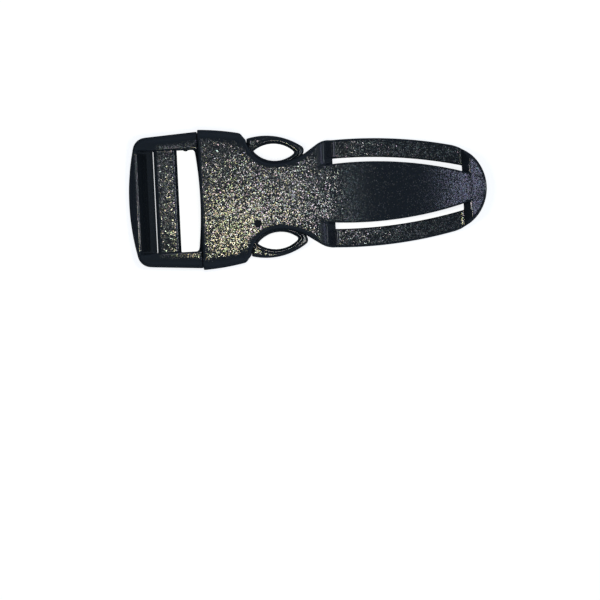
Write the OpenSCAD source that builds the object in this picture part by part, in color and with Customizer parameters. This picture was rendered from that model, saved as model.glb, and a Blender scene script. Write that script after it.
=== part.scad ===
// Side release buckle for narrow webbing, fastened.
// A plug with a webbing adjuster is latched in a socket that ends in a strap head with two curved bars.

/* [Webbing] */
// Width of the webbing that the slots take
web_w = 16; // [12:0.5:18]
// Play of the webbing in its slots, both sides together
web_play = 1.1; // [0.6:0.1:2.4]

/* [Plug frame] */
// Distance of the frame's far end from the middle of the buckle
frame_end_x = 30; // [28:0.5:32]
// Radius of the far end's shallow arc
frame_end_r = 37.5; // [30:0.5:60]
// Distance of the frame's shoulders from the middle of the buckle
frame_face_x = 18.12; // [18.1:0.01:19]
// Half width of the frame where it meets the socket
frame_half_w = 11.41; // [10.5:0.01:12]
// Outward taper of the rails, in degrees
rail_taper = 3.6; // [0:0.1:5]
// Middle of the frame's outer corner
frame_corner = [-26.69, 8.6];
// Radius of the frame's outer corners
frame_corner_r = 2.25; // [1:0.05:3]
// Underside and top of the rails
frame_z = [0.5, 7.5];
// Radius of the arc at the socket's side of the opening
opening_r = 62; // [40:1:90]
// Edge where the far end starts to slope down to the webbing
ramp_top = [28.65, 6.75];
// Foot of that slope
ramp_foot = [25.65, 2.1];
// Tip of the lip under the slope
lip_tip = [25.53, 1.9];
// Near and far edge of the adjuster bar's top
bar_top_x = [22.1, 25];
// Near and far edge of the adjuster bar where it is widest
bar_wide_x = [21.6, 25.35];
// Near and far edge of the adjuster bar's underside
bar_low_x = [23.15, 23.85];
// Heights of the adjuster bar: underside, widest place and top
bar_z = [2.5, 6.1, 6.8];

/* [Plug prongs] */
// Underside and top of the base plate and the prongs
prong_z = [1.9, 6.1];
// Middle of a prong's outer edge
prong_out = [-7, -0.55];
// Radius of a prong's outer edge
prong_out_r = 10.78; // [8:0.01:12]
// Middle of a prong's inner edge
prong_in = [-5.2, 11.02];
// Radius of a prong's inner edge
prong_in_r = 6.27; // [5:0.01:8]
// Place where the latching shoulder ends, towards the frame
latch_x = 9.85; // [9.5:0.05:10]
// Place of a prong's tip
tip_x = 0.32; // [0.2:0.01:1]
// Middles of the two arcs that draw the lens shaped hole
lens_at = [[-5.05, 10.75], [-5.6, 3.72]];
// Radii of those arcs
lens_r = [4.88, 5.23];
// Place where the hole's end is cut straight
lens_end_x = 1.85; // [1.5:0.05:2.5]

/* [Socket body] */
// Distance of the mouth from the middle of the buckle
mouth_x = 18; // [17:0.1:18]
// Height of the socket
body_h = 8; // [7:0.5:10]
// Thickness of the upper and lower plate
plate_t = 1.7; // [1.2:0.1:2]
// Radius that rounds the long edges of the box
box_edge_r = 1.7; // [0.5:0.1:2]
// Half width of the box at its widest place
box_half_w = 11.76; // [11:0.01:12]
// Half width of the cavity at the mouth and at the windows
cavity_half_w = [10.1, 8.8];
// Place where the side windows begin
window_x = 10.1; // [10:0.05:10.5]
// Place where the finger cut-outs are deepest
finger_x = -5.2; // [-6:0.1:-4]
// Radii of a finger cut-out, towards the mouth and towards the strap head
finger_r = [4.8, 9.6];
// Half width that is left between the finger cut-outs
waist_half_w = 5.55; // [5:0.05:6.5]
// Width of the finger cut-outs' chamfered edge
finger_edge = 0.5; // [0.2:0.1:0.9]
// Middle of the small gate dimple
dimple_at = [-8.6, -4.45];
// Diameter of the gate dimple
dimple_d = 0.9; // [0.6:0.1:1.2]

/* [Strap head] */
// Thickness of the two curved bars
head_bar_t = 3.2; // [2.5:0.1:4]
// Place where the bars' outer edges are furthest apart
head_x = 8; // [6:0.5:10]
// Half width there
head_half_w = 9.09; // [8:0.01:10]
// Radius of the bars' outer edges
head_r = 73.5; // [60:0.5:120]
// Place where the bars' inner edges are furthest apart
slot_x = 7.5; // [6:0.5:10]
// Half distance between the bars' inner edges there
slot_half_w = 5.98; // [5.5:0.01:7]
// Radius of the bars' inner edges
slot_r = 78; // [60:0.5:120]
// Place where the tongue is widest
tongue_x = 9; // [6:0.5:10]
// Half width of the tongue there
tongue_half_w = 5.07; // [4:0.01:5.5]
// Radius of the tongue's edges
tongue_r = 62.5; // [50:0.5:120]
// Radius of the rounded end
end_r = 7.5; // [6:0.1:9]
// Place of the tip
head_end_x = 30; // [28:0.5:32]
// Height of the tongue at the tip
tip_h = 4.6; // [4:0.1:6]
// Thickness of the tongue's skin
skin_t = 1.8; // [1.2:0.1:2.4]
// Height of the hollow rib's rim above the back
rib_z = 1.3; // [0.8:0.1:2]
// Half widths of the hollow rib outside, at the pocket's mouth and at its floor
rib_half_w = [3.2, 2.45, 1.67];
// Radius of the rib's edges
rib_r = 70.5; // [50:0.5:120]

/* [Hidden] */
// Segments in each drawn arc
steps = 10;
// Overrun of the cutting shapes
over = 1;
web_half = (web_w + web_play) / 2;
// Places where the shoulders start to fall and where they reach the bars
shoulder_x = [1.6, 4.4];
// Places where the bars' tops end and where the rounded end starts
end_slope_x = [26, 27.15];

function polar(c, r, a) = c + r * [cos(a), sin(a)];
function arc(c, r, a, b, n = steps) = [for (i = [0:n]) polar(c, r, a + (b - a) * i / n)];
// Points of an arc that peaks at (x, y) and is drawn from x = a to x = b
function crest(x, y, r, a, b, n = steps) = [
    for (i = [0:n])
        let (u = a + (b - a) * i / n) [u, y - r + sqrt(r * r - pow(u - x, 2))]
];
function mirrored(half) = concat(half, [for (i = [len(half) - 1:-1:0]) [half[i].x, -half[i].y]]);
function mirrored_up(half) = concat(half, [for (i = [len(half) - 1:-1:0]) [-half[i].x, half[i].y]]);
// Height of the tongue's crown at x
function crown(x) = body_h - (body_h - tip_h) * pow(max(x - 2, 0) / (head_end_x - 2), 2);

// Draws a profile of x and z, w wide across the buckle
module across(w) rotate([90, 0, 0]) linear_extrude(w, center = true) children();

// Draws a profile of y and z along the buckle from x = a to x = b
module along(a, b) translate([a, 0, 0]) rotate([90, 0, 90]) linear_extrude(b - a) children();

module between(z) translate([0, 0, z[0]]) linear_extrude(z[1] - z[0]) children();

module both_sides() {
    children();
    mirror([0, 1, 0]) children();
}

// Profile of a bar with its long edges chamfered twice, from its half width and heights
module soft_bar(w, z, r) {
    polygon(mirrored_up([
        [w - r, z[0]], [w - r / 3, z[0] + r / 4], [w, z[0] + r],
        [w, z[1] - r], [w - r / 3, z[1] - r / 4], [w - r, z[1]]
    ]));
}

// Outline of the frame: a shallow arc at the far end, rounded corners and tapering rails
module frame_outline() {
    middle = [frame_end_r - frame_end_x, 0];
    a = atan2(frame_corner.y, frame_corner.x - middle.x);
    polygon(mirrored(concat(
        arc(middle, frame_end_r, 180, a),
        arc(frame_corner, frame_corner_r, a, 90 + rail_taper, 6),
        [[-frame_face_x - 0.3, frame_half_w], [-frame_face_x, frame_half_w - 0.2], [-frame_face_x, 0]]
    )));
}

module frame_opening() {
    polygon(mirrored(concat(
        [[-26.25, 0], [-26.25, web_half - 0.4], [-25.85, web_half], [-18.95, web_half]],
        arc([-frame_face_x + 0.07 - opening_r, 0], opening_r, 7.7, 0, 4)
    )));
}

module frame() {
    difference() {
        intersection() {
            between(frame_z) frame_outline();
            along(-frame_end_x - over, -frame_face_x + over) soft_bar(frame_half_w, frame_z, 1.35);
            across(30) polygon([
                [-frame_end_x, 3], [-frame_end_x, 4], [-28.5, 7], [-25, frame_z[1]],
                [-frame_face_x, frame_z[1]], [-frame_face_x, frame_z[0]],
                [-27.2, frame_z[0]], [-28.2, 0.65], [-29, 1.45]
            ]);
        }
        between([frame_z[0] - over, frame_z[1] + over]) frame_opening();
        across(2 * web_half) polygon([
            [-ramp_top[0], ramp_top[1]], [-ramp_foot[0], ramp_foot[1]],
            [-20, ramp_foot[1]], [-20, 9], [-ramp_top[0], 9]
        ]);
    }
    across(2 * web_half + 0.5) polygon([
        [-26.9, 0.55], [-26.3, 0.6], [-lip_tip[0], lip_tip[1]], [-ramp_foot[0], ramp_foot[1]], [-26.9, 4]
    ]);
}

module adjuster_bar() {
    across(2 * web_half + 0.9) polygon([
        [-bar_low_x[1], bar_z[0]], [-bar_wide_x[1], bar_z[1]], [-bar_top_x[1], bar_z[2]],
        [-bar_top_x[0], bar_z[2]], [-bar_wide_x[0], bar_z[1]], [-bar_low_x[0], bar_z[0]]
    ]);
}

module base_plate() {
    between(prong_z) difference() {
        polygon(mirrored([
            [-20, 0], [-20, 9.2], [-18.6, 9.8], [-mouth_x, 9.8], [-15.6, 9.4], [-15.6, 0]
        ]));
        frame_opening();
    }
}

// One prong between its outer and inner edge, with its lens hole and the arm that carries it
module prong() {
    between(prong_z) {
        difference() {
            intersection() {
                translate(prong_out) circle(prong_out_r, $fn = 96);
                translate(prong_in) circle(prong_in_r, $fn = 96);
                translate([-latch_x, 4]) square([latch_x - tip_x, 8]);
            }
            intersection() {
                translate(lens_at[0]) circle(lens_r[0], $fn = 96);
                translate(lens_at[1]) circle(lens_r[1], $fn = 96);
                translate([-latch_x, 4]) square([latch_x - lens_end_x, 8]);
            }
        }
        polygon([[-17, 5.4], [-17, 8.2], [0.45 - latch_x, 8.5], [0.45 - latch_x, 6.9]]);
    }
}

module plug() {
    color("#26282c") {
        frame();
        adjuster_bar();
        base_plate();
        both_sides() prong();
    }
}

// Half outline of the socket from the mouth to the tip, seen from the front
function socket_half() = concat(
    [[-mouth_x, 0]],
    crest(-19.5, box_half_w, 40, -mouth_x, -11.3, 6),
    arc([-11.5, 9.84], 1.1, 78, 25, 5),
    [[-9.95, 9.64], [-0.18, 6.96], [1.95, 8.4], [2.5, 8.68], [3.05, 8.87], [3.7, 8.99]],
    crest(head_x, head_half_w, head_r, 4.3, 24.6),
    [[25.5, 6.86], [26.2, 6.45]],
    arc([head_end_x - end_r, 0], end_r, 53, 0)
);

module socket_outline() polygon(mirrored(socket_half()));

module bar_gap(a, b) {
    edge = crest(slot_x, slot_half_w, slot_r, a, b - 0.6);
    polygon(mirrored(concat([[a, 0]], edge, [[b, 3.35], [b, 0]])));
}

module tongue_outline(a, b) {
    polygon(mirrored(concat([[a, 0]], crest(tongue_x, tongue_half_w, tongue_r, a, b), [[b, 0]])));
}

// Cavity between the plates: tapering from the mouth, open at the windows, closed towards the head
module cavity() {
    between([plate_t, body_h - plate_t]) {
        polygon(mirrored([
            [-mouth_x - over, 0], [-mouth_x - over, cavity_half_w[0]], [-mouth_x, cavity_half_w[0]],
            [-12.4, cavity_half_w[1] + 0.3], [-window_x, cavity_half_w[1]], [-window_x, 14],
            [-0.05, 14], [-0.05, 5.4], [2.6, 5.4], [2.6, 0]
        ]));
    }
}

// One arc of a finger cut-out with its chamfered edges, kept between x = a and x = b
module finger_cut(r, a, b) {
    wide = r + finger_edge + over;
    intersection() {
        translate([finger_x, waist_half_w + r, 0]) rotate_extrude($fn = 96) polygon([
            [0, -over], [wide, -over], [r, finger_edge],
            [r, body_h - finger_edge], [wide, body_h + over], [0, body_h + over]
        ]);
        translate([a, 4, -over]) cube([b - a, 6.4, body_h + 2 * over]);
    }
}

// Rounded fall from the body's top to the bars, on both sides of the tongue
module shoulder_cut() {
    w = shoulder_x[1] - shoulder_x[0];
    h = body_h - head_bar_t;
    difference() {
        across(30) polygon(concat(
            [for (i = [0:steps])
                let (q = 1 - pow(1 - i / steps, 2))
                    [shoulder_x[0] + w * q, head_bar_t + h * sqrt(1 - pow(q, 3))]],
            [[6, head_bar_t], [6, body_h + over], [shoulder_x[0], body_h + over]]
        ));
        between([0, body_h + 2 * over]) tongue_outline(0, 8);
    }
}

module body() {
    difference() {
        intersection() {
            between([0, body_h]) intersection() {
                socket_outline();
                translate([-mouth_x, -15]) square([mouth_x + shoulder_x[1], 30]);
            }
            along(-mouth_x - over, 6) soft_bar(box_half_w, [0, body_h], box_edge_r);
        }
        cavity();
        shoulder_cut();
        translate([dimple_at.x, dimple_at.y, body_h - 0.5]) cylinder(h = 2, d = dimple_d, $fn = 32);
        both_sides() {
            finger_cut(finger_r[0], -11, finger_x);
            finger_cut(finger_r[1], finger_x, 2.6);
        }
    }
}

// Everything under the crown, which falls towards the tip
module under_crown(drop, a, b) {
    across(30) polygon(concat(
        [[a, -over]],
        [for (i = [0:steps]) let (x = a + (b - a) * i / steps) [x, crown(x) - drop]],
        [[b, -over]]
    ));
}

module bars_and_end() {
    intersection() {
        between([0, body_h]) difference() {
            intersection() {
                socket_outline();
                translate([4, -15]) square([30, 30]);
            }
            bar_gap(3.5, 27);
        }
        across(30) polygon([
            [3, 0], [3, head_bar_t], [end_slope_x[0], head_bar_t],
            [end_slope_x[1], 5.4], [31, 5.4], [31, 0]
        ]);
        under_crown(0, 2, head_end_x);
    }
    across(7.4) polygon([[26.05, 1.6], [26.05, 3.3], [27.1, 5.2], [27.4, 5.1], [27.4, 1.6]]);
}

module tongue() {
    difference() {
        intersection() {
            between([3, body_h]) tongue_outline(2.5, 27.5);
            under_crown(0, 2, head_end_x);
        }
        difference() {
            under_crown(skin_t, 4, 27);
            between([-2 * over, body_h]) translate([0, -10]) square([4, 20]);
        }
    }
}

// Plan of the rib or its pocket, w wide at either side and closed by the points in end
module rib_outline(w, a, b, end) {
    polygon(mirrored(concat([[a, 0]], crest(7, w, rib_r, a, b), end)));
}

// Hollow rib under the tongue, with its long pocket open to the back
module rib() {
    difference() {
        intersection() {
            between([rib_z, 7]) rib_outline(rib_half_w[0], 3.6, 26.1, [[26.1, 0]]);
            under_crown(0.5, 2, head_end_x);
        }
        intersection() {
            between([0, 8]) rib_outline(rib_half_w[1], 4, 22, [[22.7, 0.5], [23, 0]]);
            along(4, 23) polygon(mirrored_up([
                [rib_half_w[1], 0], [rib_half_w[1], rib_z], [rib_half_w[2], 5]
            ]));
            across(10) polygon([[3, 0], [3, 5.2], [20.7, 5], [23, rib_z], [23, 0]]);
        }
        for (x = [5.4, 13]) translate([x, 0, 2]) cylinder(h = 3.3, d = 2.4, $fn = 32);
    }
}

module socket() {
    color("#2b2d31") {
        body();
        bars_and_end();
        tongue();
        rib();
    }
}

plug();
socket();
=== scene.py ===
import math

import bpy
import numpy as np
import openvdb
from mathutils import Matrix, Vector


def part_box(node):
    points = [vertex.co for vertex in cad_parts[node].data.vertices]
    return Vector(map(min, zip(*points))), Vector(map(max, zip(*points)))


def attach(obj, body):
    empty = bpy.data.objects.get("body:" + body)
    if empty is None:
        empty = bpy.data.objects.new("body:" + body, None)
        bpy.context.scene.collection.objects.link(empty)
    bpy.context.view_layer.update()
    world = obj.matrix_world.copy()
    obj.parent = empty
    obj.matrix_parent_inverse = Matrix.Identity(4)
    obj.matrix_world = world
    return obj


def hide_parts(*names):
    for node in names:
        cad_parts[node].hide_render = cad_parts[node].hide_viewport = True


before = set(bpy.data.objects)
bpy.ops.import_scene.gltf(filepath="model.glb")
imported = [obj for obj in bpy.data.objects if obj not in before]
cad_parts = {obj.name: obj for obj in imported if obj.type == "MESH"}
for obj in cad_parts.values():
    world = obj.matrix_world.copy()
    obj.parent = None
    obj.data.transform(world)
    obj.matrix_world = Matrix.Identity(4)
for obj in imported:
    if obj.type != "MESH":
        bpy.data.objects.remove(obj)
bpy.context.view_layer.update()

# Each piece is a signed distance field in millimetres, negative inside, that is sampled on a grid
# and turned into a mesh in metres. x runs along the buckle to the strap head, z up out of the front.
MM = 0.001
STEP = {"plug": 0.09, "socket": 0.10}


def box_mm(node):
    """Lowest and highest corner of a CAD node, to a hundredth of a millimetre."""
    return [[round(v / MM, 2) for v in corner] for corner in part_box(node)]


# Both ends and the heights of each piece, from the CAD
(FRAME_END, _, FRAME_LOW), (_, _, FRAME_TOP) = box_mm("plug")
(SOCKET_LEFT, _, _), (HEAD_END, _, BODY_TOP) = box_mm("socket")

# Heights above the back
BAR_TOP = 3.2
PARTING = 4.0
PRONG_LOW, PRONG_TOP = 1.9, 6.1
CAVITY_LOW, CAVITY_TOP = 1.7, 6.3

# The attribute "grain" of a mesh holds the strength of its grain, up to 1, with 0 for a polished place.
# Three codes below a quarter say something else: a dull place, a satin one, and an edge rubbed in dots.
DULL, SATIN, RUBBED = -0.1, 0.105, 0.14


# Outlines

def arc(cx, cy, r, a, b, n=28):
    """Points on a circle from angle a to angle b."""
    t = np.radians(np.linspace(a, b, n + 1))
    return [(cx + r * math.cos(u), cy + r * math.sin(u)) for u in t]


def crest(x, y, r, a, b, n=28):
    """Points on an arc that peaks at (x, y), drawn from x = a to x = b."""
    return [(u, y - r + math.sqrt(r * r - (u - x) ** 2)) for u in np.linspace(a, b, n + 1)]


def mirrored(half):
    """A closed outline from its half on the +y side."""
    return half + [(x, -y) for x, y in reversed(half)]


def rounded(corners, n=6):
    """A closed outline of (x, y, radius) corners, each turned into an arc."""
    points = []
    for before, here, after in zip(corners[-1:] + corners[:-1], corners, corners[1:] + corners[:1]):
        a, b, c = (Vector(v[:2]) for v in (before, here, after))
        r = here[2]
        if r == 0:
            points.append((b.x, b.y))
            continue
        u, v = (a - b).normalized(), (c - b).normalized()
        half = math.acos(max(-1.0, min(1.0, u.dot(v)))) / 2
        centre = b + (u + v).normalized() * r / math.sin(half)
        start = b + u * r / math.tan(half) - centre
        end = b + v * r / math.tan(half) - centre
        turn = math.atan2(start.x * end.y - start.y * end.x, start.dot(end))
        first = math.atan2(start.y, start.x)
        for k in range(n + 1):
            angle = first + turn * k / n
            points.append((centre.x + r * math.cos(angle), centre.y + r * math.sin(angle)))
    return points


def distance(u, v, points):
    """Signed distance from a closed outline."""
    u, v = np.broadcast_arrays(u, v)
    near = np.full(u.shape, 1e9, np.float32)
    sign = np.ones(u.shape, np.float32)
    for (ax, ay), (bx, by) in zip(points, points[1:] + points[:1]):
        ex, ey = bx - ax, by - ay
        if ex * ex + ey * ey < 1e-10:
            continue
        wx, wy = u - ax, v - ay
        t = np.clip((wx * ex + wy * ey) / (ex * ex + ey * ey), 0, 1)
        near = np.minimum(near, (wx - ex * t) ** 2 + (wy - ey * t) ** 2)
        above, below, left = v >= ay, v < by, ex * wy > ey * wx
        sign = np.where((above & below & left) | (~above & ~below & ~left), -sign, sign)
    return (sign * np.sqrt(near)).astype(np.float32)


# Blends of two fields

def meet(a, b, r=0.0):
    """What lies in both fields, with the edge between them rounded to r."""
    return np.minimum(-r, np.maximum(a, b)) + np.hypot(np.maximum(a + r, 0), np.maximum(b + r, 0))


def join(a, b, r=0.0):
    """Both fields together, with the corner between them filled to r."""
    return np.maximum(r, np.minimum(a, b)) - np.hypot(np.maximum(r - a, 0), np.maximum(r - b, 0))


def cut(a, b, r=0.0):
    """The first field without the second, with the edge between them rounded to r."""
    return meet(a, -b, r)


def ramp(x, a, b):
    """Rises smoothly from 0 at a to 1 at b."""
    t = np.clip((x - a) / (b - a), 0, 1)
    return t * t * (3 - 2 * t)


def between(x, a, b):
    return (x > a) & (x < b)


class Space:
    """A block of sample points, as planes that broadcast against each other."""

    MARGIN = 4

    def __init__(self, low, high, step):
        self.low, self.step = np.array(low, float) - self.MARGIN * step, step
        count = [int(math.ceil((b - a) / step)) + 2 * self.MARGIN + 1 for a, b in zip(low, high)]
        ax = [(self.low[i] + step * np.arange(count[i])).astype(np.float32) for i in range(3)]
        self.x, self.y, self.z = ax[0][:, None, None], ax[1][None, :, None], ax[2][None, None, :]

    def plan(self, points):
        """An outline of x and y, as seen from the front."""
        return distance(self.x, self.y, points)

    def side(self, points):
        """A profile of x and z."""
        return distance(self.x, self.z, points)

    def disc(self, cx, cy, r):
        return np.hypot(self.x - cx, self.y - cy) - r

    def slab(self, a, b):
        return np.maximum(a - self.z, self.z - b)

    def ball(self, centre, size):
        """An ellipsoid; its field is near enough a distance for a small bump."""
        parts = [(v - c) / h for v, c, h in zip((self.x, self.y, self.z), centre, size)]
        return (np.sqrt(sum(q * q for q in parts)) - 1) * min(size)


# Socket: body, shoulders, bars, tongue and rounded strap head

BODY_HALF = 11.76
FINGER_X = -5.2
FINGER_R = (4.8, 9.6)
WAIST_HALF = 5.55
CAVITY_END = 2.6
WINDOW = (-10.1, -0.05)
GATE, GATE_R = (-8.6, -4.45), 0.52

# The strap head: arcs as place of the crest, half width there and radius
HEAD = (8, 9.09, 73.5)
SLOT = (7.5, 5.98, 78)
TONGUE = (9, 5.07, 62.5)
RIB = (7, 3.2, 70.5)
POCKET = (7, 2.45, 70.5)
END_R = 7.5
BAR_END = 26.0
HEAD_WALL = 27.15

# The tongue: a skin with a hollow rib, whose pocket has a sloping floor with two ejector marks.
# A mark is its place, radius and depth.
TONGUE_SKIN = 1.8
RIB_LOW, RIB_HIGH = 1.3, 6.0
RIB_DRAFT, POCKET_DRAFT = 0.19, 0.21
FLOOR_START, FLOOR_END = (3.9, 5.0), (20.7, 4.4)
EJECTOR_MARKS = ((5.4, 1.15, 0.35), (13.0, 1.25, 0.25))

# The crown: where the top starts to fall, and how far it falls to the tip
CROWN_START, CROWN_FALL = 2.0, 3.4

# Radii of the long edges: along the sides, at the waist, and on the head in front and behind
SIDE_EDGE, WAIST_EDGE, FRONT_EDGE, BACK_EDGE = 1.8, 0.82, 0.3, 0.5


def crown(x):
    """Height of the top along the buckle: level over the body, falling to the tip."""
    along = np.maximum(x - CROWN_START, 0) / (HEAD_END - CROWN_START)
    return BODY_TOP - CROWN_FALL * along ** 2


def crown_points(a, b, n, drop=0.0):
    """Points along the crown from x = a to x = b, or some way below it."""
    return [(x, float(crown(x)) - drop) for x in np.linspace(a, b, n)]


def socket_outline():
    return mirrored(
        [(-24, 0), (-24, BODY_HALF)]
        + crest(-19.5, BODY_HALF, 40, -19.5, -11.3)
        + arc(-11.5, 9.84, 1.1, 78, 25, 10)
        + arc(FINGER_X, WAIST_HALF + FINGER_R[0], FINGER_R[0], 188.5, 270)
        + arc(FINGER_X, WAIST_HALF + FINGER_R[1], FINGER_R[1], 271, 301.5)
        + [(1.95, 8.4), (2.5, 8.68), (3.05, 8.87), (3.7, 8.99)]
        + crest(*HEAD, 4.3, 24.6)
        + [(25.5, 6.86), (26.2, 6.45)]
        + arc(HEAD_END - END_R, 0, END_R, 53.13, 0)
    )


def tongue_outline():
    return mirrored([(-4, 0)] + crest(*TONGUE, -4, 32) + [(32, 0)])


def edge_radius(x, head):
    """Radius of the body's long edges: wide along the sides, less at the waist, small on the head."""
    to_side, to_waist = 1 - ramp(x, -11.3, -10.3), 1 - ramp(x, 0.6, 2.2)
    return head + (WAIST_EDGE - head) * to_waist + (SIDE_EDGE - WAIST_EDGE) * to_side


def shell_field(s, out, over, tongue):
    """Body, bars and strap head: as high as the crown inside the tongue, lower beside it."""
    # seen from the side: the shoulders' fall, the bars' level tops and the wall of the rounded end
    profile = (
        [(-30, -3), (-30, BODY_TOP)]
        + arc(1.5, BODY_TOP - 4.4, 4.4, 89, 73, 10)
        + arc(2.57, 7.14, 0.7, 72, 18, 10)
        + arc(4.85, BAR_TOP + 0.4, 0.4, 180, 270, 6)
        + arc(BAR_END - 0.3, BAR_TOP + 0.5, 0.5, 270, 329, 6)
        + arc(HEAD_WALL + 0.28, float(crown(HEAD_WALL)) - 0.36, 0.3, 151, 80, 6)
        + crown_points(27.6, 31, 12) + [(31, -3)]
    )
    bead = np.hypot(s.x - BAR_END + 0.2, s.z - BAR_TOP + 0.2) - 0.3
    beside = join(s.side(profile), bead, 0.05)
    blend = ramp(s.x, 1.9, 3.0) * (1 - ramp(s.x, 25.8, 26.9))
    top = join(beside, meet(tongue, over, 0.2), 0.3 * blend)
    # the rounded end's corners are softer than its edge, and the mouth's edge is sharper at the sides
    corner = 0.9 * ramp(np.abs(s.y), 4.4, 5.7) * ramp(s.x, 26.3, 27.1)
    shell = meet(out, top, edge_radius(s.x, FRONT_EDGE) + corner)
    shell = meet(shell, -s.z, edge_radius(s.x, BACK_EDGE))
    shell = meet(shell, SOCKET_LEFT - s.x, 0.52 - 0.36 * ramp(np.abs(s.y), 9.6, 10.8))
    # a blend can stand a hair above the level top, which is the top of the CAD's box too
    shell = np.maximum(shell, s.z - BODY_TOP)
    gap = s.plan(mirrored([(4.4, 0)] + crest(*SLOT, 4.4, 26.4) + [(27.0, 3.35), (27.0, 0)]))
    return cut(shell, gap, 0.16 + 0.3 * (1 - ramp(s.z, 0.8, 1.8)))


def tongue_field(s, out, over, tongue):
    """The tongue's skin and the hollow rib behind it, with the ejector marks in the rib's pocket."""
    skin = s.side(
        [(0.4, 0.8), (0.4, BODY_TOP)] + crown_points(2, 31, 40) + [(31, 2.0), (27.2, 2.0)]
        + crown_points(27.1, 4, 30, TONGUE_SKIN) + [(3.8, 0.8)]
    )
    leaf = meet(meet(tongue, skin, 0.2), out + 0.6)
    up = s.z - RIB_LOW
    rib = s.plan(mirrored([(3.6, 0)] + crest(*RIB, 3.6, 26.2) + [(26.2, 0)]))
    rib = meet(meet(rib - RIB_DRAFT * up, s.slab(RIB_LOW, RIB_HIGH), 0.14), over + 0.6)
    leaf = join(leaf, rib, 0.55)
    mouth = s.plan(mirrored([(2.5, 0)] + crest(*POCKET, 2.5, 21.5) + arc(21.75, 0, 1.15, 60, 0, 8)))
    (start, high), (end, low) = FLOOR_START, FLOOR_END
    well = rounded([(start, -1, 0), (start, high, 0), (end, low, 0.4), (23.1, 0.6, 0), (23.1, -1, 0)])
    leaf = cut(leaf, meet(mouth + POCKET_DRAFT * up, s.side(well), 0.2), 0.16)
    for cx, r, deep in EJECTOR_MARKS:
        floor = high - (high - low) * (cx - start) / (end - start)
        leaf = cut(leaf, meet(s.disc(cx, 0, r), s.slab(2.0, floor + deep)), 0.06)
    return leaf


def socket_field(s):
    """The shell and the tongue, the lip before the rounded end, the cavity and the gate's dimple."""
    out, tongue = s.plan(socket_outline()), s.plan(tongue_outline())
    over = s.side([(-6, -3)] + crown_points(-6, 32, 40) + [(32, -3)])
    shell = shell_field(s, out, over, tongue)
    leaf = tongue_field(s, out, over, tongue)
    field = join(shell, leaf, 0.25 * ramp(s.x, 4.2, 4.8) * (1 - ramp(s.x, 26.0, 26.8)))
    lip = rounded([
        (26.05, 1.6, 0), (26.05, 3.3, 0.3), (27.1, 5.2, 0.1), (27.6, 5.0, 0), (27.6, 1.6, 0),
    ])
    lip = meet(s.plan(mirrored([(25.6, 0), (25.6, 4.2), (27.4, 4.0), (27.4, 0)])), s.side(lip), 0.15)
    field = join(field, lip, 0.12 * (1 - ramp(s.x, 26.2, 27.0)))
    inside = s.plan(mirrored([
        (-30, 0), (-30, 10.1), (-18, 10.1), (-12.4, 9.1), (WINDOW[0], 8.8), (WINDOW[0], 16),
        (WINDOW[1], 16), (WINDOW[1], 5.4), (CAVITY_END, 5.4), (CAVITY_END, 0),
    ]))
    field = cut(field, meet(inside, s.slab(CAVITY_LOW, CAVITY_TOP)), 0.15)
    return cut(field, s.ball((*GATE, BODY_TOP + 0.1), (GATE_R, GATE_R, 0.6)), 0.06)


def socket_grain(p, n):
    """Grain on the level faces inside the rounded edges, satin shoulders, rubbed beads at the bars."""
    x, y, z = p.T
    front = n[:, 2] > 0
    out = -distance(x, y, socket_outline())
    beside = distance(x, y, tongue_outline()) > -0.1
    off_mouth = ramp(x, SOCKET_LEFT + 0.38, SOCKET_LEFT + 0.48)

    # strength on the body's and tongue's front, on the bars' front and on the back
    top, back = 0.86 * edge_radius(x, FRONT_EDGE), 0.86 * edge_radius(x, BACK_EDGE)
    body_front = ramp(out, top - 0.08, top) * off_mouth
    body_front = np.where(between(x, 1.62, 27.62) & beside, 0.0, body_front)
    bars_front = ramp(out, 0.2, 0.3) * ramp(x, 4.9, 5.1)
    body_back = ramp(out, back - 0.08, back) * off_mouth
    strength = np.where(z > 4.2, body_front, bars_front)
    strength = np.where(front, strength, np.where(z < 1.0, body_back, 1.0))
    in_cavity = (x < CAVITY_END) & between(z, CAVITY_LOW - 0.3, CAVITY_TOP + 0.3)
    level = ramp(np.abs(n[:, 2]), 0.965, 0.98)
    grain = level * np.where(in_cavity, 0.0, strength)

    shoulder = (np.abs(x - 3.0) < 1.35) & (z > BAR_TOP + 0.3) & front
    bar_end = (np.abs(x - BAR_END + 0.2) < 0.25) & between(z, BAR_TOP + 0.01, BAR_TOP + 0.2)
    rim = (np.abs(x - 27.3) < 0.3) & (z > 4.9) & (n[:, 0] < -0.08)
    gate = (np.hypot(x - GATE[0], y - GATE[1]) < GATE_R) & front & (z > 7.2)
    grain = np.where(shoulder & beside & (grain < 0.1), SATIN, grain)
    grain = np.where((bar_end | rim) & beside, RUBBED, grain)
    return np.where(gate, DULL, grain)


# Plug: frame, adjuster bar, base plate and two prongs

FRAME_RIGHT = -18.09
FRAME_R = 37.5
CORNER_R, CORNER_TURN = 2.25, 165.8
OPENING_HALF = 8.55
RAMP_TOP, RAMP_FOOT = (-28.65, 6.75), (-25.8, 2.1)
BAR_X = -23.45
LATCH_X, TIP_X = -9.85, -0.32

# A prong and its lens-shaped hole: the middles and radii of their two arcs
PRONG_OUT, PRONG_IN = (-7.0, -0.55, 10.78), (-5.2, 11.02, 6.27)
LENS_OUT, LENS_IN = (-5.6, 3.72, 5.23), (-5.05, 10.75, 4.88)
LENS_END = -1.95


def frame_outline():
    return mirrored(
        arc(FRAME_END + FRAME_R, 0, FRAME_R, 180, CORNER_TURN)
        + arc(-26.69, 8.6, CORNER_R, CORNER_TURN, 93.6, 12)
        + [(-17.0, 11.5), (-17.0, 0)]
    )


def opening_outline():
    return mirrored(
        [(-26.25, 0), (-26.25, 8.15), (-25.85, OPENING_HALF), (-18.95, OPENING_HALF), (-18.66, 8.3)]
        + arc(-80.05, 0, 62, 7.4, 0, 16)
    )


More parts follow.
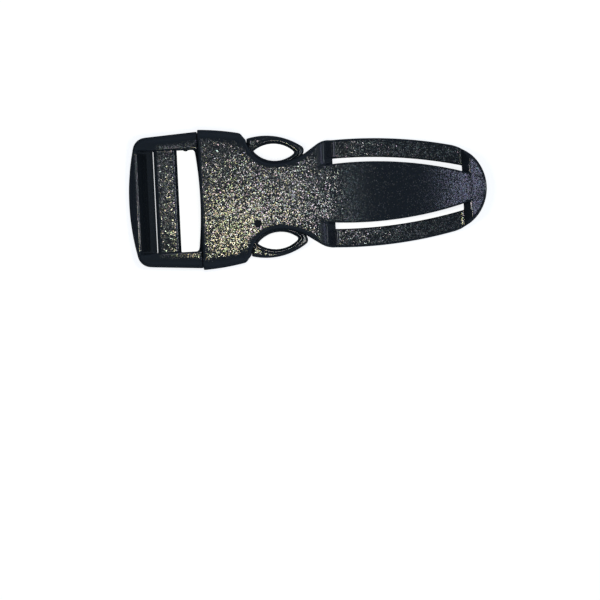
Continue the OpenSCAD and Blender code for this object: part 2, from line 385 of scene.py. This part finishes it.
def frame_field(s):
    """The end with its bevels, the two rails, the slope inside the end and the lip at its foot."""
    x, z, across = s.x, s.z, np.abs(s.y)
    edge = 0.35 + 1.35 * ramp(across, 6.5, 9.7)
    ring = meet(meet(s.plan(frame_outline()), z - FRAME_TOP, edge), FRAME_LOW - z, edge)
    bevels = rounded([
        (-30.1, 3.2, 0), (-30.1, 3.8, 0), (-28.5, 7.0, 0.3), (-25, FRAME_TOP, 0), (-17, 7.7, 0),
        (-17, 0.3, 0), (-27.2, FRAME_LOW, 0), (-28.2, 0.62, 0.9), (-29.0, 1.45, 0.2),
    ])
    ring = meet(ring, s.side(bevels), 0.15)
    ring = cut(ring, s.plan(opening_outline()), 0.16 - 0.13 * ramp(x, -18.9, -18.7))
    ring = meet(ring, x - FRAME_RIGHT, 0.14 - 0.11 * (1 - ramp(across, 8.3, 8.8)))
    slope = s.side([RAMP_TOP, RAMP_FOOT, (-16, RAMP_FOOT[1]), (-16, 12), (RAMP_TOP[0], 12)])
    slope = meet(slope, across - OPENING_HALF, 0.5 * (1 - ramp(x, -26.5, -25.5)))
    ring = cut(ring, slope, 0.9 - 0.74 * ramp(x, -27.6, -25.6))
    lip = rounded([
        (-26.9, 0.55, 0), (-26.3, 0.6, 0.1), (-25.65, 1.9, 0.15), (-25.81, 2.15, 0.1), (-26.9, 4.0, 0),
    ])
    return join(ring, meet(s.side(lip), across - 8.8, 0.1), 0.12)


def bar_field(s):
    """The adjuster bar, a wedge with a flat textured top, and the gate mark on its back."""
    wedge = rounded([
        (-23.85, 2.5, 0.1), (-25.51, 6.3, 0.15), (-25.0, 6.8, 0.2), (-22.0, 6.8, 0.6),
        (-21.52, 5.9, 0.3), (-23.15, 2.5, 0.1),
    ])
    bar = meet(s.side(wedge), np.abs(s.y) - 9.0, 0.2)
    return join(bar, meet(s.disc(BAR_X, 0, 0.6), s.slab(2.42, 4.0), 0.05), 0.12)


def prong_field(s):
    """The prong on the +y side: a loop round a lens-shaped hole with a raised rim."""
    x, z = s.x, s.z
    loop = meet(s.disc(*PRONG_OUT), s.disc(*PRONG_IN), 0.35)
    loop = meet(meet(loop, x - TIP_X, 0.3), LATCH_X - x, 0.12)
    lens = meet(s.disc(*LENS_IN), s.disc(*LENS_OUT), 0.15)
    flange = meet(loop, s.slab(PRONG_LOW + 0.35, PRONG_TOP - 0.35), 0.3)
    rim = meet(meet(np.abs(lens - 0.37) - 0.2, loop + 0.1), s.slab(PRONG_LOW, PRONG_TOP), 0.19)
    patch = meet(meet(loop + 0.38, x + 7.2, 0.1), s.slab(PRONG_LOW + 0.05, PRONG_TOP - 0.05), 0.1)
    mark = meet(s.disc(-1.35, 7.0, 0.65), s.slab(PRONG_LOW + 0.02, PARTING), 0.05)
    prong = join(join(flange, rim, 0.1), join(patch, mark), 0.08)
    off = np.abs(z - PARTING)
    hole = meet(lens + 0.05 * (PRONG_TOP - PARTING - off), x - LENS_END - 0.17 * off, 0.2)
    prong = cut(prong, hole, 0.12)
    arm = s.plan([(-17, 5.4), (-17, 8.2), (-9.4, 8.5), (-9.4, 6.9)])
    return join(prong, meet(arm, s.slab(PRONG_LOW, PRONG_TOP), 0.15), 0.1)


def plug_field(s):
    """Frame, adjuster bar and base plate, a moulding nib on one rail, and the prongs on both sides."""
    field = join(frame_field(s), bar_field(s), 0.15)
    base = s.plan(mirrored([(-20, 0), (-20, 9.2), (-18.6, 9.8), (-18, 9.8), (-15.6, 9.4), (-15.6, 0)]))
    lead_in = 0.9 * np.maximum(-16.6 - s.x, 0)
    base = meet(cut(base, s.plan(opening_outline())), s.slab(PRONG_LOW, PRONG_TOP - lead_in), 0.12)
    nib = s.ball((-20.1, 8.62, PARTING), (0.5, 0.36, 0.9))
    prong = prong_field(s)
    prongs = np.minimum(prong, prong[:, ::-1, :])
    return join(join(join(field, base, 0.1), nib, 0.1), prongs, 0.1)


def plug_grain(p, n):
    """Grain on the rails' strips, the adjuster bar, the end's back facet and the prongs' patches."""
    x, y, z = p.T
    across, up = np.abs(y), n[:, 2]
    bar_top = (-25.2, -22.36)
    bar = between(x, *bar_top) & (across < 8.6)
    strip = ramp(x, -25.2, -24.9) * (x < -18.3) * (across > 8.62) * ramp(up, 0.985, 0.993)
    land = between(x, -27.25, -26.2) & (up < 0) & (z < 0.8) & (across < 9.9)
    patch = between(x, -10, -7.25) & ((z > 5.98) | (z < 2.02))
    rim = (x > -10) & ((z > 5.98) | (z < 2.0))
    facet = ramp(-x, 29.0, 29.08) * (up < -0.2) * (1 - ramp(across, 5.2, 6.2))
    strength = np.where(bar | patch, 1.0, np.where(rim, 0.0, np.maximum(0.36 * strip, land)))
    grain = np.maximum(ramp(np.abs(up), 0.93, 0.97) * strength, facet)

    crest_line = between(x, -29.1, -28.1) & (z > 5.0) & (up > 0.8) & (across < 8.5)
    bar_edge = between(x, bar_top[1], -21.9) & (z > 6.5) & (across < 8.4)
    return np.where(crest_line | bar_edge, RUBBED, grain)


# Meshes

# Samples that a field keeps on each side of the surface, and how far level faces are simplified
BAND = 3
SIMPLIFY = 0.02


def sample(field, s, p):
    """The field at points p, blended between its samples."""
    q = (p - s.low) / s.step
    i = np.clip(np.floor(q).astype(int), 0, np.array(field.shape) - 2)
    f = q - i
    total = np.zeros(len(p))
    for corner in np.ndindex(2, 2, 2):
        weight = np.prod(np.where(corner, f, 1 - f), axis=1)
        total += weight * field[i[:, 0] + corner[0], i[:, 1] + corner[1], i[:, 2] + corner[2]]
    return total


def gradient(field, s, p):
    """Unit normals of the field at points p."""
    e = 0.6 * s.step
    g = np.stack([sample(field, s, p + e * a) - sample(field, s, p - e * a) for a in np.eye(3)], 1)
    return g / np.maximum(np.linalg.norm(g, axis=1, keepdims=True), 1e-9)


def moulded(name, low, high, make, grain):
    """A mesh of a distance field, with the field's own normals and the grain as an attribute."""
    s = Space(low, high, STEP[name])
    band = BAND * s.step
    field = np.clip(make(s), -band, band).astype(np.float32)
    volume = openvdb.FloatGrid(band)
    volume.copyFromArray(field)
    points, tris, quads = volume.convertToPolygons(0.0, SIMPLIFY)
    p = points.astype(float) * s.step + s.low
    n = gradient(field, s, p)
    mesh = bpy.data.meshes.new(name)
    mesh.from_pydata((p * MM).tolist(), [], tris.tolist() + quads.tolist())
    mesh.validate()
    first = mesh.polygons[0]
    if first.normal.dot(Vector(n[first.vertices[0]])) < 0:
        mesh.flip_normals()
    mesh.shade_smooth()
    mesh.normals_split_custom_set_from_vertices(n.tolist())
    layer = mesh.attributes.new("grain", "FLOAT", "POINT")
    layer.data.foreach_set("value", grain(p, n).astype(np.float32))
    obj = bpy.data.objects.new(name + "_moulding", mesh)
    bpy.context.scene.collection.objects.link(obj)
    return obj


# Materials

class Nodes:
    """Adds nodes to the tree of a material or the world and links them, left to right."""

    def __init__(self, owner):
        owner.use_nodes = True
        self.tree = owner.node_tree

    def put(self, socket, value):
        if isinstance(value, bpy.types.NodeSocket):
            self.tree.links.new(value, socket)
        else:
            socket.default_value = value

    def plug(self, node, key, value):
        """Sets an input of a node that the tree has from the start."""
        self.put(self.tree.nodes[node].inputs[key], value)

    def add(self, kind, values=None, **settings):
        node = self.tree.nodes.new(kind)
        for key, value in settings.items():
            setattr(node, key, value)
        for key, value in (values or {}).items():
            self.put(node.inputs[key], value)
        return node

    def math(self, operation, a, b=0.0, c=0.0):
        return self.add("ShaderNodeMath", {0: a, 1: b, 2: c}, operation=operation).outputs[0]

    def vector(self, operation, a, b=(0, 0, 0), c=(0, 0, 0)):
        return self.add("ShaderNodeVectorMath", {0: a, 1: b, 2: c}, operation=operation).outputs[0]

    def axis(self, vector, i):
        return self.add("ShaderNodeSeparateXYZ", {0: vector}).outputs[i]

    def blue(self, colour):
        return self.add("ShaderNodeSeparateColor", {0: colour}).outputs[2]

    def remap(self, value, a, b, c, d):
        return self.add("ShaderNodeMapRange", {0: value, 1: a, 2: b, 3: c, 4: d}).outputs[0]

    def window(self, value, a, b, c, d):
        """1 from b to c, and 0 below a and above d."""
        rise, fall = self.remap(value, a, b, 0.0, 1.0), self.remap(value, c, d, 1.0, 0.0)
        return self.math("MULTIPLY", rise, fall)

    def spread(self, colour, a, b, c, d):
        """Each channel of a colour, stretched from a..b to c..d."""
        ends = {6: colour, 7: (a,) * 3, 8: (b,) * 3, 9: (c,) * 3, 10: (d,) * 3}
        return self.add("ShaderNodeMapRange", ends, data_type="FLOAT_VECTOR").outputs[1]

    def mix(self, factor, a, b):
        return self.add("ShaderNodeMix", {0: factor, 6: a, 7: b}, data_type="RGBA").outputs[2]


SHADER = "Principled BSDF"
# the second colour is painted glints: light specks in the base colour that stand in for light caught by
# the grain
BLACK, PAINTED_GLINT = (0.0125, 0.0172, 0.025, 1), (0.14, 0.14, 0.15, 1)
POLISHED_ROUGHNESS, SATIN_ROUGHNESS = 0.14, 0.26
PITS_PER_MM, TOPS_PER_MM = 7.3, 2.3
TILT, WIDE_TILT = 0.043, 0.05
RELIEF = 0.01 * MM
LEAST_TINT = 0.68


def worn(m, grain, along, high):
    """The strength of the grain, less on the middle of the tongue, where wear has smoothed it."""
    rise = m.remap(along, 4.8 * MM, 13.0 * MM, 0.0, 0.5)
    fall = m.remap(along, 18.0 * MM, 24.0 * MM, 1.0, 0.5)
    above_bars = m.remap(high, 3.4 * MM, 4.0 * MM, 0.0, 1.0)
    wear = m.math("MULTIPLY", m.math("MULTIPLY", rise, fall), above_bars)
    return m.math("MULTIPLY", grain, m.math("SUBTRACT", 1.0, wear))


def relief(m, grain, chance, tops, high):
    """The normal: pits that tilt by chance, fine tops, and the line that the mould's halves leave."""
    normal = m.add("ShaderNodeNewGeometry").outputs["Normal"]
    depth = m.math("POWER", grain, 3.0)
    tilt = m.spread(chance, 0.0, 1.0, -1.0, 1.0)
    size = m.vector("MULTIPLY_ADD", m.vector("MULTIPLY", tilt, tilt), (WIDE_TILT,) * 3, (TILT,) * 3)
    tilt = m.vector("MULTIPLY_ADD", m.vector("MULTIPLY", tilt, size), depth, normal)
    steep = m.remap(m.math("ABSOLUTE", m.axis(normal, 2)), 0.3, 0.6, 1.0, 0.0)
    off = m.math("ABSOLUTE", m.math("SUBTRACT", high, PARTING * MM))
    seam = m.math("MULTIPLY", m.remap(off, 0.03 * MM, 0.11 * MM, 1.2, 0.0), steep)
    height = m.math("MULTIPLY_ADD", tops, depth, seam)
    tilt = m.vector("NORMALIZE", tilt)
    bump = {"Height": height, "Strength": 1.0, "Distance": RELIEF, "Normal": tilt}
    return m.add("ShaderNodeBump", bump).outputs[0]


def sheen(m, mark, grain, chance, tops):
    """The roughness: some pits are burnished and catch the light, the others stay dull."""
    # the attribute blends from point to point, so each code is read within a little window
    satin = m.window(mark, SATIN - 0.035, SATIN - 0.015, SATIN + 0.01, SATIN + 0.02)
    rubbed = m.window(mark, RUBBED - 0.015, RUBBED - 0.005, RUBBED + 0.06, RUBBED + 0.12)
    dull = m.remap(mark, DULL + 0.02, DULL + 0.08, 2.0, 0.0)
    burnish = m.math("MULTIPLY_ADD", m.math("SUBTRACT", tops, 0.5), 0.5, m.blue(chance))
    smooth = m.math("SUBTRACT", 1.0, grain)
    smooth = m.math("MULTIPLY", smooth, m.math("MULTIPLY_ADD", rubbed, -0.8, 1.0))
    smooth = m.math("SUBTRACT", smooth, dull)
    more = SATIN_ROUGHNESS - POLISHED_ROUGHNESS
    polish = m.math("MULTIPLY_ADD", satin, more, POLISHED_ROUGHNESS)
    return m.remap(m.math("ADD", burnish, smooth), 0.40, 0.50, 1.0, polish)


def plastic(name, seed):
    """Black moulded plastic: polished on the rounded edges, spark eroded on the level faces, with
    painted glints.
    """
    material = bpy.data.materials.new(name)
    m = Nodes(material)
    local = m.add("ShaderNodeTexCoord").outputs["Object"]
    along, high = m.axis(local, 0), m.axis(local, 2)
    shift = {"Vector": local, "Location": (seed,) * 3, "Scale": (1 / MM,) * 3}
    where = m.add("ShaderNodeMapping", shift).outputs[0]
    pits = m.add("ShaderNodeTexVoronoi", {"Vector": where, "Scale": PITS_PER_MM}).outputs["Color"]
    chance = m.add("ShaderNodeTexWhiteNoise", {"Vector": pits}).outputs["Color"]
    tops = {"Vector": where, "Scale": TOPS_PER_MM, "Detail": 2.0, "Roughness": 0.6}
    tops = m.add("ShaderNodeTexNoise", tops).outputs[0]

    mark = m.add("ShaderNodeAttribute", attribute_name="grain").outputs["Fac"]
    grain = worn(m, m.remap(mark, 0.06, 0.4, 0.0, 1.0), along, high)
    # painted glints: sparse light specks in the base colour on the grained faces
    painted_glint = m.math("MULTIPLY", m.remap(m.blue(pits), 0.90, 0.97, 0.0, 1.0), grain)
    m.plug(SHADER, "Normal", relief(m, grain, chance, tops, high))
    m.plug(SHADER, "Roughness", sheen(m, mark, grain, chance, tops))
    m.plug(SHADER, "Base Color", m.mix(painted_glint, BLACK, PAINTED_GLINT))
    m.plug(SHADER, "Specular Tint", m.spread(pits, 0.0, 1.0, LEAST_TINT, 1.0))
    m.plug(SHADER, "IOR", 1.5)
    return material


def piece(obj, node, material):
    obj.data.materials.append(material)
    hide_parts(node)
    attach(obj, "root")


plug = moulded("plug", (-30.2, -11.6, 0.3), (-0.2, 11.6, 7.7), plug_field, plug_grain)
piece(plug, "plug", plastic("plug_plastic", 3.0))
socket = moulded("socket", (-18.2, -11.9, -0.2), (30.2, 11.9, 8.2), socket_field, socket_grain)
piece(socket, "socket", plastic("socket_plastic", 11.0))

# Stage: a pale light table that the plastic doesn't mirror, four small lamps above, two far to the side

scene = bpy.context.scene


def lamp(name, at, size, power, colour, target=None):
    """An elliptic lamp, in millimetres and watts, that shines at the target or straight down."""
    at, size = Vector(at) * MM, Vector(size) * MM
    target = Vector(target) * MM if target else Vector((at.x, at.y, 0))
    data = bpy.data.lights.new(name, "AREA")
    data.shape, data.energy, data.color = "ELLIPSE", power, colour
    data.size, data.size_y = size
    obj = bpy.data.objects.new(name, data)
    obj.location = at
    obj.rotation_euler = (target - at).to_track_quat("-Z", "Y").to_euler()
    obj.visible_camera = False
    scene.collection.objects.link(obj)


mesh = bpy.data.meshes.new("floor")
mesh.from_pydata([(-2, -2, 0), (2, -2, 0), (2, 2, 0), (-2, 2, 0)], [], [(0, 1, 2, 3)])
floor = bpy.data.objects.new("floor", mesh)
scene.collection.objects.link(floor)
floor.visible_glossy = False
paper = bpy.data.materials.new("paper")
m = Nodes(paper)
m.plug(SHADER, "Base Color", (0.5, 0.5, 0.5, 1))
m.plug(SHADER, "Roughness", 0.9)
m.plug(SHADER, "Emission Color", (0.97, 0.985, 1.0, 1))
m.plug(SHADER, "Emission Strength", 0.9)
mesh.materials.append(paper)

# each lamp's sheen falls where the photograph's does, and the one named edges draws lines on edges
lamp("key", (-7.0, -2.1, 104), (15, 7.8), 0.0146, (1.0, 0.96, 0.96))
lamp("warm", (-14.0, -6.2, 80), (9, 6), 0.0084, (1.0, 0.95, 0.48))
lamp("adjuster", (-24.7, 4.0, 60), (4.5, 17), 0.0012, (0.92, 0.96, 1.0))
lamp("bars", (11.5, 2.9, 158), (22, 22), 0.0040, (0.75, 0.93, 1.0))
lamp("edges", (500, 11, 290), (50, 80), 0.20, (0.9, 0.95, 1.0), target=(0, 0, 8))
lamp("tip", (330, 22, 620), (50, 90), 0.125, (0.66, 0.70, 1.0), target=(20, 0, 0))

# The world is dim below and to the left, and brightest a little above the horizon on the right
world = bpy.data.worlds.new("world")
scene.world = world
m = Nodes(world)
way = m.add("ShaderNodeTexCoord").outputs["Generated"]
way = m.add("ShaderNodeVectorMath", {0: way, 1: (0.25, 0.0, 0.5)}, operation="DOT_PRODUCT")
glow = m.add("ShaderNodeValToRGB", {0: m.math("ADD", way.outputs["Value"], 0.5)})
m.plug("Background", "Color", glow.outputs["Color"])
elements = glow.color_ramp.elements
for at, value in ((0.0, 0.03), (0.3, 0.08), (0.5, 0.15), (0.6, 0.28), (0.8, 0.28), (1.0, 0.14)):
    stop = elements.new(at) if 0 < at < 1 else elements[-1 if at else 0]
    stop.color = (0.60 * value, 0.77 * value, value, 1)

scene.view_settings.view_transform = "Standard"

# Camera: it looks straight down from far away, with the buckle above the picture's middle
HEIGHT, HALF_WIDTH, TURN = 900.0, 50.27, 2.8
aim = Vector((-2.18, -17.53, 4.0)) * MM
camera = bpy.data.objects.new("camera", bpy.data.cameras.new("camera"))
camera.data.angle = 2 * math.atan(HALF_WIDTH / HEIGHT)
camera.location = aim + Vector((0, 0, HEIGHT * MM))
camera.rotation_euler = (0, 0, -math.radians(TURN))
camera.data.clip_start, camera.data.clip_end = 0.01, 10
scene.collection.objects.link(camera)
scene.camera = camera
